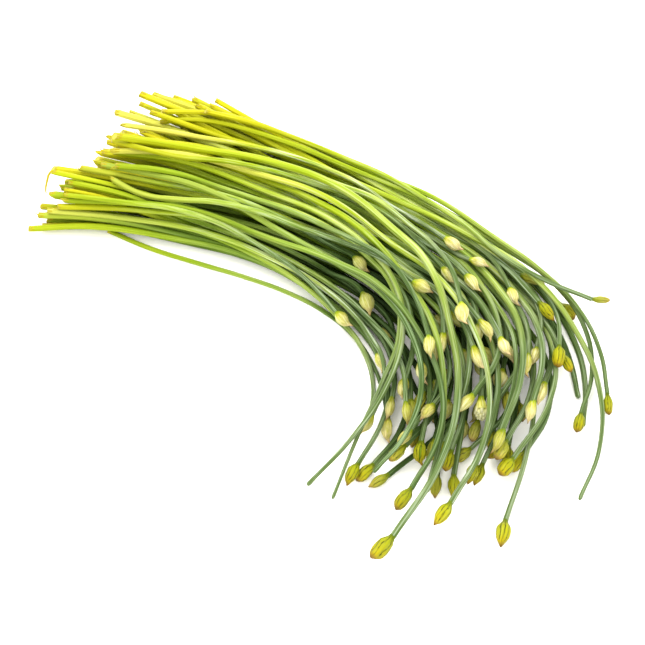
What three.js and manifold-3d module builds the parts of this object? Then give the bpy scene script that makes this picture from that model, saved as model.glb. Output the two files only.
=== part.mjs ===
// Garlic chive flower bunch: a hundred cut scapes, each a slender stem that ends in one closed bud,
// laid loose in a heap that fans out to its cut ends and swings round to its buds.
// Millimetres: +X runs along the bunch to the buds, +Y away from the viewer, +Z up, with the
// surface that the bunch lies on at z = 0 and the origin under the middle of its outline.
import * as THREE from "three";
import { mergeVertices } from "three/addons/utils/BufferGeometryUtils.js";
import Module from "manifold-3d";

// Sizes of one scape: its radius where it is cut, the share of it that is left at its neck, its
// bud, and the angle by which the bud nods. One in ten has lost its bud and ends in a blunt tip.
const CUT_RADIUS = { low: 1.7, high: 2.5 };
const NECK_SHARE = 0.78;
const TAPER_POWER = 1.5;
const BUD_LENGTH = { low: 12, high: 16 };
const BUD_RADIUS = { low: 3.3, high: 4.6 };
const NOD = { low: -0.6, high: 0.45 };
const NOD_ON_THE_WAY = [0.3, 0.65];
const BLUNT_SHARE = 0.1;

// Where the bud's rings stand along its length, and how wide it is there.
const BUD_STEPS = [0.2, 0.48, 0.78, 1.0];
const BUD_SHAPE = [0.82, 1.0, 0.62, 0.12];

// A scape's section is a pentagon with a flat side down, so those at the bottom lie on a flat.
const SIDES = 5;
const FLAT = Math.cos(Math.PI / SIDES);

// A stem's rings from its cut end to its neck: evenly as far as its tie, where the straight part
// ends, and from there on ever closer.
const STEM_RINGS = 10;
const TIE_RING = 3;
const LEAD = 0.25;

// Three guide curves across the bunch, each the four control points of a Bezier curve in plan:
// its near edge, its middle and its far edge. A share of 0 is the near edge, and 1 the far one.
const GUIDES = [
  [[-186, 85], [-97, 82], [101, 19], [20, -96]],
  [[-150, 146], [-76, 100], [175, 44], [61, -107]],
  [[-120, 185], [-21, 122], [245, 36], [96, -105]],
];
const SHARE_LIMITS = { low: -0.03, high: 1.06 };

// The heap is laid from the surface up: first scapes three to a node, then pairs, then single
// ones. Those of one node are pressed into each other at their tie, and fan out from there.
const LAYERS = [
  { size: 3, count: 14, name: "three_scapes" },
  { size: 2, count: 14, name: "two_scapes" },
  { size: 1, count: 14, name: "scape" },
];
const SEED = 74;

// How a unit of the heap is drawn: how far its curve wanders across the guides at each control
// point, the share on which it ends against the one that it starts on, and how often it crosses.
const WANDER = [0.14, 0.14, 0.05, 0];
const FAR_SHARE = { kept: 0.5, low: -0.02, high: 0.55 };
const CROSSING_SHARE = 0.12;

// Where along its curve a scape starts and where its neck is. The higher in the heap, the sooner
// its neck may come, so that the buds of those under it show.
const CUT_STAGGER = { all: 0.07, farEdge: 0.2, neighbour: 0.012 };
const NECK_PLACE = { low: 0.72, lowAtTop: 0.52, high: 1.02, highAtTop: 0.94 };

// The scapes of one unit are pressed into each other by this share at their tie.
const FUSE = 0.45;
const FAN = { low: 12, high: 30, power: 1.2 };
const TIE = { low: 0.3, high: 0.5 };
const LONE_TIE = 0.4;

// How a scape comes down on those under it: the gap left, the slope that it can bend to, and the
// places to either side that are tried for the one where it lies lowest.
const GAP = 0.3;
const SLOPE = 0.2;
const TRIES = 9;
const TRY_STEP = 0.05;
const PEAK_WEIGHT = 0.3;
const LEAST_GAIN = 1e-6;
const TRY_SPACING = 8;
const SETTLE_SPACING = 1.5;
const SETTLING_ROUNDS = 6;

// Scapes that stray from the heap, each on a curve of its own. The first lies on the surface
// beside the heap, and the others cross it at the top.
const STRAYS = [
  { curve: [[-136, 74], [-70, 35], [35, 41], [38, -62]], radius: 1.6, nod: 0 },
  { curve: [[-142, 116], [-15, 79], [129, 22], [-14, -99]], radius: 1.8, nod: 0.65 },
  { curve: [[-132, 114], [-9, 96], [126, 11], [-10, -103]], radius: 2.0, nod: 0.05 },
  { curve: [[-122, 127], [-24, 100], [110, 32], [58, -111]], radius: 2.1, nod: 0 },
  { curve: [[-139, 105], [-85, 93], [128, 4], [32, -102]], radius: 2.0, nod: -0.15 },
  { curve: [[-133, 111], [-34, 115], [146, 29], [82, -122]], radius: 1.9, nod: -0.35, bud: [15.5, 4.0] },
  { curve: [[-164, 83], [-76, 83], [109, 22], [62, -113]], radius: 1.9, nod: -0.45, bud: [14.5, 4.1] },
  { curve: [[-105, 145], [-73, 155], [224, 53], [147, -56]], radius: 1.7, nod: 0.15, bud: [12.5, 3.2] },
  { curve: [[-105, 150], [-4, 148], [151, 62], [176, -42]], radius: 1.7, nod: -0.35, bud: [12.5, 3.1] },
  { curve: [[-111, 147], [-13, 119], [219, 39], [152, -111]], radius: 1.9, nod: -0.2 },
  { curve: [[-79, 146], [-1, 129], [76, 110], [140, -12]], radius: 1.7, nod: 1.1, bud: [11.5, 2.3] },
  { curve: [[-163, 85], [-108, 74], [-34, 66], [8, 6]], radius: 1.7, nod: 0.05, bud: [12.5, 3.7] },
  { curve: [[-133, 95], [-84, 61], [-8, 81], [50, 11]], radius: 1.9, nod: 0.3, bud: [13.5, 4.0] },
  { curve: [[-134, 119], [-87, 86], [6, 121], [78, 32]], radius: 1.8, nod: -0.3, bud: [13.5, 3.9] },
  { curve: [[-132, 100], [-24, 83], [-14, 69], [81, -10]], radius: 1.8, nod: -0.95, bud: [13.5, 3.8] },
  { curve: [[-115, 121], [-25, 117], [50, 94], [90, 1]], radius: 1.9, nod: -0.45, bud: [14.5, 4.0] },
  { curve: [[-130, 139], [-65, 128], [13, 121], [75, 52]], radius: 1.8, nod: 0, bud: [13.5, 3.9] },
  { curve: [[-131, 115], [1, 117], [122, 57], [61, -144]], radius: 2.4, nod: -0.55, bud: [17, 4.9] },
];

const SCAPE_COLOUR = "#8fae52";
const SCAPE_ROUGHNESS = 0.5;

const wasm = await Module();
wasm.setup();

// The same draws each time: a state of 31 bits, multiplied on.
function makeDraw(seed) {
  let state = seed;
  return (low = 0, high = 1) => {
    state = (state * 16807) % 2147483647;
    return low + ((high - low) * state) / 2147483647;
  };
}

const drawIn = (draw, range) => draw(range.low, range.high);
const mix = THREE.MathUtils.lerp;

// Control point number index of the curve at a share across the bunch, by a parabola through
// the three guides.
function guidePoint(index, share) {
  const weights = [(1 - share) * (1 - 2 * share), 4 * share * (1 - share), share * (2 * share - 1)];
  const point = new THREE.Vector2();
  GUIDES.forEach((guide, g) => point.addScaledVector(new THREE.Vector2(...guide[index]), weights[g]));
  return point;
}

const bezier = (points) => new THREE.CubicBezierCurve(...points);

// Where a stem's rings stand, as parameters of its curve.
function ringPlaces({ start, end }, tie) {
  return Array.from({ length: STEM_RINGS }, (_, k) => {
    if (k <= TIE_RING) return start + ((tie - start) * k) / TIE_RING;
    const even = (k - TIE_RING) / (STEM_RINGS - 1 - TIE_RING);
    return tie + (end - tie) * even * (1 + LEAD - LEAD * even);
  });
}

// The stem's rings in plan. A scape that shares its node with others keeps to one side of their
// common curve, closest at the tie, where it is pressed into its neighbour.
function stemPlan(curve, scape, places, aside, tie, fan) {
  const last = STEM_RINGS - 1;
  const middle = places.map((place) => curve.getPoint(place));
  return middle.map((point, k) => {
    const along = middle[Math.min(k + 1, last)].clone().sub(middle[Math.max(k - 1, 0)]).normalize();
    const spread = FUSE * 2 * scape.radius + fan * Math.abs(places[k] - tie) ** FAN.power;
    return point.clone().add(new THREE.Vector2(-along.y, along.x).multiplyScalar(aside * spread));
  });
}

// All rings of a scape: its stem, thinner towards the neck, then the bud, which nods to a side.
// The last two stretches of the stem turn part of the way.
function makeScape(curve, scape, aside = 0, tie = LONE_TIE, fan = 0) {
  const places = ringPlaces(scape, tie);
  const straight = stemPlan(curve, scape, places, aside, tie, fan);
  const plan = straight.map((point) => point.clone());
  const radii = places.map((place) => {
    const share = (place - scape.start) / (scape.end - scape.start);
    return scape.radius * (1 - (1 - NECK_SHARE) * share ** TAPER_POWER);
  });
  const last = STEM_RINGS - 1;
  const origin = new THREE.Vector2();
  NOD_ON_THE_WAY.forEach((turn, n) => {
    const k = last + 1 - NOD_ON_THE_WAY.length + n;
    const run = straight[k].clone().sub(straight[k - 1]);
    plan[k].copy(run.rotateAround(origin, turn * scape.nod)).add(plan[k - 1]);
  });
  if (scape.bud) {
    const [length, radius] = scape.bud;
    const ahead = straight[last].clone().sub(straight[last - 1]).normalize();
    ahead.rotateAround(origin, scape.nod);
    BUD_STEPS.forEach((step, k) => {
      plan.push(plan[last].clone().addScaledVector(ahead, length * step));
      radii.push(radius * BUD_SHAPE[k]);
    });
  }
  const arc = [0];
  for (let k = 1; k < plan.length; k++) arc.push(arc[k - 1] + plan[k].distanceTo(plan[k - 1]));
  return { plan, radii, arc, heights: [] };
}

// How high the middle of a scape of this radius lies at a point, on the stretches laid so far.
function support(x, y, radius, laid) {
  let height = radius * FLAT;
  for (const s of laid) {
    const t = Math.min(1, Math.max(0, ((x - s.x) * s.dx + (y - s.y) * s.dy) / s.square));
    const away = (x - s.x - t * s.dx) ** 2 + (y - s.y - t * s.dy) ** 2;
    const lift = (radius + s.radius + t * s.dRadius + GAP) ** 2 - away;
    if (lift > 0) height = Math.max(height, s.z + t * s.dz + Math.sqrt(lift));
  }
  return height;
}

// A bent scape is nowhere steeper than SLOPE, so what holds one place up holds its length up.
function bendOver(scape, place, height) {
  scape.heights = scape.heights.map((z, k) => Math.max(z, height - SLOPE * Math.abs(scape.arc[k] - place)));
}

// Brings a scape down on what is laid, felt out at places this far apart: first each ring as
// high as the bend asks, then each stretch lifted at its two ends by what it still lacks.
function settle(scape, laid, spacing) {
  const { plan, radii, arc } = scape;
  const samples = [];
  for (let k = 0; k + 1 < plan.length; k++) {
    const count = Math.ceil((arc[k + 1] - arc[k]) / spacing);
    for (let j = 0; j <= count; j++) {
      const f = j / count;
      const x = plan[k].x * (1 - f) + plan[k + 1].x * f;
      const y = plan[k].y * (1 - f) + plan[k + 1].y * f;
      const height = support(x, y, radii[k] * (1 - f) + radii[k + 1] * f, laid);
      samples.push({ k, f, place: arc[k] * (1 - f) + arc[k + 1] * f, height });
    }
  }
  scape.heights = radii.map((r) => r * FLAT);
  for (const s of samples) bendOver(scape, s.place, s.height);
  for (let round = 0; round < SETTLING_ROUNDS; round++) {
    for (const { k, f, height } of samples) {
      const lack = height - (scape.heights[k] * (1 - f) + scape.heights[k + 1] * f);
      if (lack <= 0) continue;
      const lift = lack / ((1 - f) ** 2 + f ** 2);
      scape.heights[k] += lift * (1 - f);
      scape.heights[k + 1] += lift * f;
    }
    const raised = [...scape.heights];
    raised.forEach((z, k) => bendOver(scape, arc[k], z));
  }
}

// Settles the scapes of one node, and brings them to one height at their tie.
function settleUnit(unit, laid, spacing) {
  for (const scape of unit) settle(scape, laid, spacing);
  const top = Math.max(...unit.map((scape) => scape.heights[TIE_RING]));
  for (const scape of unit) bendOver(scape, scape.arc[TIE_RING], top);
  return unit;
}

const restingCost = ({ heights }) =>
  heights.reduce((sum, z) => sum + z, 0) / heights.length + PEAK_WEIGHT * Math.max(...heights);

// Adds a unit's stretches to those that the next ones come down on.
function keep(unit, laid) {
  for (const { plan, radii, heights } of unit)
    for (let k = 0; k + 1 < plan.length; k++) {
      const dx = plan[k + 1].x - plan[k].x;
      const dy = plan[k + 1].y - plan[k].y;
      laid.push({
        x: plan[k].x,
        y: plan[k].y,
        z: heights[k],
        radius: radii[k],
        dx,
        dy,
        dz: heights[k + 1] - heights[k],
        dRadius: radii[k + 1] - radii[k],
        square: dx * dx + dy * dy,
      });
    }
}

// One unit of the heap, drawn, tried at several places side by side and kept where it lies
// lowest. up says how much of the heap is laid already.
function drawUnit(draw, size, up, laid) {
  const share = draw();
  let farShare = share * FAR_SHARE.kept + drawIn(draw, FAR_SHARE);
  if (draw() < CROSSING_SHARE) farShare = 1 - share;
  const shares = WANDER.map((wander, index) => {
    const along = index / (WANDER.length - 1);
    return share * (1 - along) + farShare * along + (wander ? draw(-wander, wander) : 0);
  });
  const start = draw(0, CUT_STAGGER.all) + CUT_STAGGER.farEdge * share ** 3 * draw();
  const radius = drawIn(draw, CUT_RADIUS);
  const tie = drawIn(draw, TIE);
  const fan = drawIn(draw, FAN);
  const kinds = [];
  for (let m = 0; m < size; m++) {
    const kind = {
      start: start + CUT_STAGGER.neighbour * m,
      end: draw(mix(NECK_PLACE.low, NECK_PLACE.lowAtTop, up), mix(NECK_PLACE.high, NECK_PLACE.highAtTop, up)),
      radius,
      bud: [drawIn(draw, BUD_LENGTH), drawIn(draw, BUD_RADIUS)],
      nod: drawIn(draw, NOD),
    };
    if (draw() < BLUNT_SHARE) kind.bud = null;
    kinds.push(kind);
  }
  let best = null;
  let bestCost = Infinity;
  for (let k = 0; k < TRIES; k++) {
    const shift = (k - (TRIES - 1) / 2) * TRY_STEP;
    const placed = shares.map((s) => THREE.MathUtils.clamp(s + shift, SHARE_LIMITS.low, SHARE_LIMITS.high));
    const curve = bezier(placed.map((s, index) => guidePoint(index, s)));
    const unit = kinds.map((kind, m) => makeScape(curve, kind, m - (size - 1) / 2, tie, fan));
    settleUnit(unit, laid, TRY_SPACING);
    const cost = unit.reduce((sum, scape) => sum + restingCost(scape), 0);
    if (cost < bestCost - LEAST_GAIN) {
      bestCost = cost;
      best = unit;
    }
  }
  return settleUnit(best, laid, SETTLE_SPACING);
}

// The whole bunch in the order in which it is laid, one unit to a node.
function layBunch() {
  const draw = makeDraw(SEED);
  const laid = [];
  const units = [];
  const add = (name, unit) => {
    units.push({ name, unit });
    keep(unit, laid);
  };
  const stray = ({ curve, ...kind }) => {
    const points = curve.map((point) => new THREE.Vector2(...point));
    return settleUnit([makeScape(bezier(points), { start: 0, end: 1, ...kind })], laid, SETTLE_SPACING);
  };
  const numbered = (name, number) => name + "_" + String(number).padStart(2, "0");
  add(numbered("stray_scape", 1), stray(STRAYS[0]));
  const total = LAYERS.reduce((sum, layer) => sum + layer.count, 0);
  let done = 0;
  for (const { size, count, name } of LAYERS)
    for (let n = 1; n <= count; n++) {
      add(numbered(name, n), drawUnit(draw, size, done / total, laid));
      done++;
    }
  STRAYS.slice(1).forEach((one, n) => add(numbered("stray_scape", n + 2), stray(one)));
  return units;
}

// A ring's frame: its middle, and the directions to its left and up from its flat side.
function ringFrame({ plan, heights, radii }, k) {
  const at = (n) => new THREE.Vector3(plan[n].x, plan[n].y, heights[n]);
  const along = at(Math.min(k + 1, plan.length - 1)).sub(at(Math.max(k - 1, 0))).normalize();
  const left = new THREE.Vector3(0, 0, 1).cross(along).normalize();
  return { middle: at(k), left, up: along.clone().cross(left), radius: radii[k] };
}

// A scape's solid surface: a cylinder's rings moved to the scape's own.
function scapeGeometry(scape) {
  const last = scape.plan.length - 1;
  const frames = scape.plan.map((_, k) => ringFrame(scape, k));
  const cylinder = new THREE.CylinderGeometry(1, 1, 1, SIDES, last);
  cylinder.deleteAttribute("normal");
  cylinder.deleteAttribute("uv");
  const position = cylinder.getAttribute("position");
  for (let i = 0; i < position.count; i++) {
    const { middle, left, up, radius } = frames[Math.round((0.5 - position.getY(i)) * last)];
    const moved = middle.clone();
    moved.addScaledVector(left, radius * position.getX(i));
    moved.addScaledVector(up, radius * position.getZ(i));
    position.setXYZ(i, moved.x, moved.y, moved.z);
  }
  return mergeVertices(cylinder);
}

// The scapes of a node as one closed body.
function joined(geometries) {
  const solids = geometries.map((geometry) => {
    const vertProperties = new Float32Array(geometry.getAttribute("position").array);
    const triVerts = new Uint32Array(geometry.index.array);
    return new wasm.Manifold(new wasm.Mesh({ numProp: 3, vertProperties, triVerts }));
  });
  const mesh = solids.reduce((a, b) => a.add(b)).getMesh();
  return new THREE.BufferGeometry()
    .setAttribute("position", new THREE.BufferAttribute(new Float32Array(mesh.vertProperties), 3))
    .setIndex(new THREE.BufferAttribute(new Uint32Array(mesh.triVerts), 1));
}

const material = new THREE.MeshStandardMaterial({
  color: SCAPE_COLOUR,
  roughness: SCAPE_ROUGHNESS,
  metalness: 0,
});
const bunch = new THREE.Group();
const parts = layBunch().map(({ name, unit }) => ({ name, geometries: unit.map(scapeGeometry) }));

const outline = new THREE.Box3();
for (const { geometries } of parts)
  for (const geometry of geometries) {
    geometry.computeBoundingBox();
    outline.union(geometry.boundingBox);
  }
const middle = outline.getCenter(new THREE.Vector3());

for (const { name, geometries } of parts) {
  for (const geometry of geometries) geometry.translate(-middle.x, -middle.y, 0);
  const node = new THREE.Mesh(joined(geometries), material);
  node.name = name;
  bunch.add(node);
}

export default bunch;
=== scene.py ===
from math import acos, ceil, cos, pi, radians, sin

import bmesh
import bpy
import numpy as np
from mathutils import Matrix, Vector


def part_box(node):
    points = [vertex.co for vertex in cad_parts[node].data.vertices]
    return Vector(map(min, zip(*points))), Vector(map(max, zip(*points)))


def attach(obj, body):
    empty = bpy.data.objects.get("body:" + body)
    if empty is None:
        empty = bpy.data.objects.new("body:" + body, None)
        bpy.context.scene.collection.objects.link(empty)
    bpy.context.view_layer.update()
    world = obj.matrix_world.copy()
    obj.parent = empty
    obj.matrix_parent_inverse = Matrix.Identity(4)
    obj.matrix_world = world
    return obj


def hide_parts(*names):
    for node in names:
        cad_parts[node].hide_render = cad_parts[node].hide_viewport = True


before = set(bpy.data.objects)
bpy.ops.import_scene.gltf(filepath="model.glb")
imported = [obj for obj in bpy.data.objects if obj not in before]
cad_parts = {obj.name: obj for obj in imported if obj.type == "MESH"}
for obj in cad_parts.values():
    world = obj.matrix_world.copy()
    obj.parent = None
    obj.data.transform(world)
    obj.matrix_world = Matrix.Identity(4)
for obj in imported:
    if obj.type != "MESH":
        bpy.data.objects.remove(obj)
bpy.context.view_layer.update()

# The heap. About a hundred cut flower stalks, or scapes, lie loose on each other: fanned at the cut
# ends, pressed together a third of the way along, and swung round to the buds. The sizes and the rule
# are those of the model's solids, in millimetres, so that each finer scape lies where its solid is.
CUT_RADIUS = (1.7, 2.5)
NECK_SHARE = 0.78
TAPER_POWER = 1.5
BUD_LENGTH = (12, 16)
BUD_RADIUS = (3.3, 4.6)
BUD_STEPS = (0.2, 0.48, 0.78, 1.0)
BUD_SHAPE = (0.82, 1.0, 0.62, 0.12)
NOD = (-0.6, 0.45)
NOD_ON_THE_WAY = (0.3, 0.65)
BLUNT_SHARE = 0.1

# A solid has rings of five corners. They are evenly spaced up to the tie, where the bunch is pressed
# together, and come closer from there to the neck.
SIDES = 5
FLAT = cos(pi / SIDES)
STEM_RINGS = 10
TIE_RING = 3
LEAD = 0.25

# The guide curves in plan, along the near edge of the bunch, its middle and its far edge.
GUIDES = np.array([
    [[-186, 85], [-97, 82], [101, 19], [20, -96]],
    [[-150, 146], [-76, 100], [175, 44], [61, -107]],
    [[-120, 185], [-21, 122], [245, 36], [96, -105]],
], float)
SHARE_LIMITS = (-0.03, 1.06)

# How many scapes a unit of each layer has, how many units there are, and what their nodes are called.
LAYERS = ((3, 14, "three_scapes"), (2, 14, "two_scapes"), (1, 14, "scape"))

# How a unit is drawn: how its curve wanders across the bunch, and where along it the unit starts and
# its necks end.
SEED = 74
DRAW_FACTOR = 16807
DRAW_SPAN = 2 ** 31 - 1
WANDER = (0.14, 0.14, 0.05, 0)
FAR_KEPT = 0.5
FAR_SHARE = (-0.02, 0.55)
CROSSING_SHARE = 0.12
STAGGER = 0.07
FAR_EDGE_STAGGER = 0.2
NEIGHBOUR_STAGGER = 0.012
NECK_PLACE_AT_FOOT = np.array([0.72, 1.02])
NECK_PLACE_AT_TOP = np.array([0.52, 0.94])

# How the scapes of a unit lie: sunk into each other at the tie, and fanned out from there.
FUSE = 0.45
FAN = (12, 30)
FAN_POWER = 1.2
TIE = (0.3, 0.5)
LONE_TIE = 0.4

# How a unit is settled: its gap to what lies under it, its steepest slope, the shifts that are tried,
# and how closely it is felt out.
GAP = 0.3
SLOPE = 0.2
TRIES = 9
TRY_STEP = 0.05
PEAK_WEIGHT = 0.3
LEAST_GAIN = 1e-6
TRY_SPACING = 8
SETTLE_SPACING = 1.5
SETTLING_ROUNDS = 6

# What is laid is kept as stretches from ring to ring: the place and radius of the first ring of each,
# and the steps from there to the next ring.
NOTHING_LAID = np.zeros((0, 8))

# Scapes that stray from the heap, each with its curve, cut radius, nod, and its bud or none.
STRAYS = (
    ([[-136, 74], [-70, 35], [35, 41], [38, -62]], 1.6, 0, None),
    ([[-142, 116], [-15, 79], [129, 22], [-14, -99]], 1.8, 0.65, None),
    ([[-132, 114], [-9, 96], [126, 11], [-10, -103]], 2.0, 0.05, None),
    ([[-122, 127], [-24, 100], [110, 32], [58, -111]], 2.1, 0, None),
    ([[-139, 105], [-85, 93], [128, 4], [32, -102]], 2.0, -0.15, None),
    ([[-133, 111], [-34, 115], [146, 29], [82, -122]], 1.9, -0.35, (15.5, 4.0)),
    ([[-164, 83], [-76, 83], [109, 22], [62, -113]], 1.9, -0.45, (14.5, 4.1)),
    ([[-105, 145], [-73, 155], [224, 53], [147, -56]], 1.7, 0.15, (12.5, 3.2)),
    ([[-105, 150], [-4, 148], [151, 62], [176, -42]], 1.7, -0.35, (12.5, 3.1)),
    ([[-111, 147], [-13, 119], [219, 39], [152, -111]], 1.9, -0.2, None),
    ([[-79, 146], [-1, 129], [76, 110], [140, -12]], 1.7, 1.1, (11.5, 2.3)),
    ([[-163, 85], [-108, 74], [-34, 66], [8, 6]], 1.7, 0.05, (12.5, 3.7)),
    ([[-133, 95], [-84, 61], [-8, 81], [50, 11]], 1.9, 0.3, (13.5, 4.0)),
    ([[-134, 119], [-87, 86], [6, 121], [78, 32]], 1.8, -0.3, (13.5, 3.9)),
    ([[-132, 100], [-24, 83], [-14, 69], [81, -10]], 1.8, -0.95, (13.5, 3.8)),
    ([[-115, 121], [-25, 117], [50, 94], [90, 1]], 1.9, -0.45, (14.5, 4.0)),
    ([[-130, 139], [-65, 128], [13, 121], [75, 52]], 1.8, 0, (13.5, 3.9)),
    ([[-131, 115], [1, 117], [122, 57], [61, -144]], 2.4, -0.55, (17, 4.9)),
)


def draws(seed):
    """The same draws each time: a state of 31 bits, multiplied on."""
    state = seed
    while True:
        state = state * DRAW_FACTOR % DRAW_SPAN
        yield state / DRAW_SPAN


def draw_in(draw, low, high):
    return low + (high - low) * next(draw)


def guide_point(index, share):
    """A control point at a share across the bunch, by a parabola through the three guides."""
    weights = np.array([
        (1 - share) * (1 - 2 * share), 4 * share * (1 - share), share * (2 * share - 1),
    ])
    return weights @ GUIDES[:, index]


def on_bezier(points, places):
    rest = 1 - places
    weights = np.stack([rest ** 3, 3 * places * rest ** 2, 3 * places ** 2 * rest, places ** 3], 1)
    return weights @ points


def unit(vectors):
    return vectors / np.linalg.norm(vectors, axis=-1, keepdims=True)


def along(points):
    """The direction at each point of a route, from the point before it to the one after it."""
    last = len(points) - 1
    return unit(points[[*range(1, last + 1), last]] - points[[0, *range(last)]])


def distances(points):
    """How far along a route each of its points is."""
    return np.append(0, np.cumsum(np.linalg.norm(np.diff(points, axis=0), axis=1)))


def turned(vector, angle):
    return np.array([[np.cos(angle), -np.sin(angle)], [np.sin(angle), np.cos(angle)]]) @ vector


def ring_places(start, end, tie):
    """Where a stem's rings stand on its curve: evenly up to its tie, then ever closer."""
    steps = np.arange(STEM_RINGS)
    even = (steps - TIE_RING) / (STEM_RINGS - 1 - TIE_RING)
    to_tie = start + (tie - start) * steps / TIE_RING
    return np.where(steps <= TIE_RING, to_tie, tie + (end - tie) * even * (1 + LEAD - LEAD * even))


def make_scape(points, kind, aside=0, tie=LONE_TIE, fan=0):
    """A scape's rings in plan: its stem's, then its bud's. aside is its side of a shared curve."""
    places = ring_places(kind["start"], kind["end"], tie)
    middles = on_bezier(points, places)
    direction = along(middles)
    spread = FUSE * 2 * kind["radius"] + fan * abs(places - tie) ** FAN_POWER
    straight = middles + np.stack([-direction[:, 1], direction[:, 0]], 1) * (aside * spread)[:, None]
    share = (places - kind["start"]) / (kind["end"] - kind["start"])
    radii = list(kind["radius"] * (1 - (1 - NECK_SHARE) * share ** TAPER_POWER))
    plan = list(straight)
    for turn, ring in zip(NOD_ON_THE_WAY, (STEM_RINGS - 2, STEM_RINGS - 1)):
        plan[ring] = plan[ring - 1] + turned(straight[ring] - straight[ring - 1], turn * kind["nod"])
    if kind["bud"]:
        length, radius = kind["bud"]
        ahead = turned(unit(straight[-1] - straight[-2]), kind["nod"])
        plan += [plan[-1] + ahead * length * step for step in BUD_STEPS]
        radii += [radius * width for width in BUD_SHAPE]
    plan = np.array(plan)
    return {"plan": plan, "radii": np.array(radii), "arc": distances(plan), "bud": kind["bud"]}


def support(at, radii, laid):
    """How high the middle of a scape of these radii lies at these points."""
    heights = radii * FLAT
    if not len(laid):
        return heights
    x, y, z, radius, dx, dy, dz, d_radius = laid.T
    share = np.clip(((at[:, :1] - x) * dx + (at[:, 1:] - y) * dy) / (dx * dx + dy * dy), 0, 1)
    away = (at[:, :1] - x - share * dx) ** 2 + (at[:, 1:] - y - share * dy) ** 2
    lift = (radii[:, None] + radius + share * d_radius + GAP) ** 2 - away
    over = np.where(lift > 0, z + share * dz + np.sqrt(np.maximum(lift, 0)), 0)
    return np.maximum(heights, over.max(1))


def bent_over(heights, arc, places, needed):
    """A bent scape is nowhere steeper than SLOPE, so what holds one place up holds its length up."""
    held = needed[None, :] - SLOPE * abs(arc[:, None] - places[None, :])
    return np.maximum(heights, held.max(1))


def settle(scape, laid, spacing):
    """Brings a scape down on what is laid, felt out at places this far apart."""
    plan, radii, arc = scape["plan"], scape["radii"], scape["arc"]
    counts = [ceil(length / spacing) for length in np.diff(arc)]
    stretches = np.concatenate([np.full(count + 1, stretch) for stretch, count in enumerate(counts)])
    shares = np.concatenate([np.arange(count + 1) / count for count in counts])

    def between_rings(values):
        return (values[stretches].T * (1 - shares) + values[stretches + 1].T * shares).T

    needed = support(between_rings(plan), between_rings(radii), laid)
    heights = bent_over(radii * FLAT, arc, between_rings(arc), needed)
    for _ in range(SETTLING_ROUNDS):
        for stretch, share, height in zip(stretches, shares, needed):
            lack = height - (heights[stretch] * (1 - share) + heights[stretch + 1] * share)
            if lack > 0:
                lift = lack / ((1 - share) ** 2 + share ** 2)
                heights[stretch] += lift * (1 - share)
                heights[stretch + 1] += lift * share
        heights = bent_over(heights, arc, arc, heights)
    scape["heights"] = heights


def settle_unit(scapes, laid, spacing):
    """Settles the scapes that go together, and brings them to one height at their tie."""
    for scape in scapes:
        settle(scape, laid, spacing)
    top = max(scape["heights"][TIE_RING] for scape in scapes)
    for scape in scapes:
        tie = scape["arc"][TIE_RING:TIE_RING + 1]
        scape["heights"] = bent_over(scape["heights"], scape["arc"], tie, np.array([top]))
    return scapes


def with_stretches(scapes, laid):
    """What is laid, and the stretches of these scapes on top of it."""
    rows = [laid]
    for scape in scapes:
        rings = np.column_stack([scape["plan"], scape["heights"], scape["radii"]])
        rows.append(np.column_stack([rings[:-1], np.diff(rings, axis=0)]))
    return np.vstack(rows)


def draw_unit(draw, size, up, laid):
    """One unit of the heap, drawn, tried side by side and kept where it lies lowest."""
    share = next(draw)
    far_share = share * FAR_KEPT + draw_in(draw, *FAR_SHARE)
    if next(draw) < CROSSING_SHARE:
        far_share = 1 - share
    shares = []
    for index, wander in enumerate(WANDER):
        across = index / (len(WANDER) - 1)
        strayed = draw_in(draw, -wander, wander) if wander else 0
        shares.append(share * (1 - across) + far_share * across + strayed)
    start = draw_in(draw, 0, STAGGER) + FAR_EDGE_STAGGER * share ** 3 * next(draw)
    radius = draw_in(draw, *CUT_RADIUS)
    tie = draw_in(draw, *TIE)
    fan = draw_in(draw, *FAN)
    kinds = []
    neck_place = NECK_PLACE_AT_FOOT * (1 - up) + NECK_PLACE_AT_TOP * up
    for number in range(size):
        kind = {"start": start + NEIGHBOUR_STAGGER * number, "radius": radius}
        kind["end"] = draw_in(draw, *neck_place)
        kind["bud"] = (draw_in(draw, *BUD_LENGTH), draw_in(draw, *BUD_RADIUS))
        kind["nod"] = draw_in(draw, *NOD)
        if next(draw) < BLUNT_SHARE:
            kind["bud"] = None
        kinds.append(kind)
    best, best_cost = None, np.inf
    for number in range(TRIES):
        shift = (number - (TRIES - 1) / 2) * TRY_STEP
        moved = np.clip(np.array(shares) + shift, *SHARE_LIMITS)
        points = np.array([guide_point(index, place) for index, place in enumerate(moved)])
        asides = np.arange(size) - (size - 1) / 2
        scapes = [make_scape(points, kind, aside, tie, fan) for kind, aside in zip(kinds, asides)]
        settle_unit(scapes, laid, TRY_SPACING)
        cost = sum(s["heights"].mean() + PEAK_WEIGHT * s["heights"].max() for s in scapes)
        if cost < best_cost - LEAST_GAIN:
            best, best_cost = scapes, cost
    return settle_unit(best, laid, SETTLE_SPACING)


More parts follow.
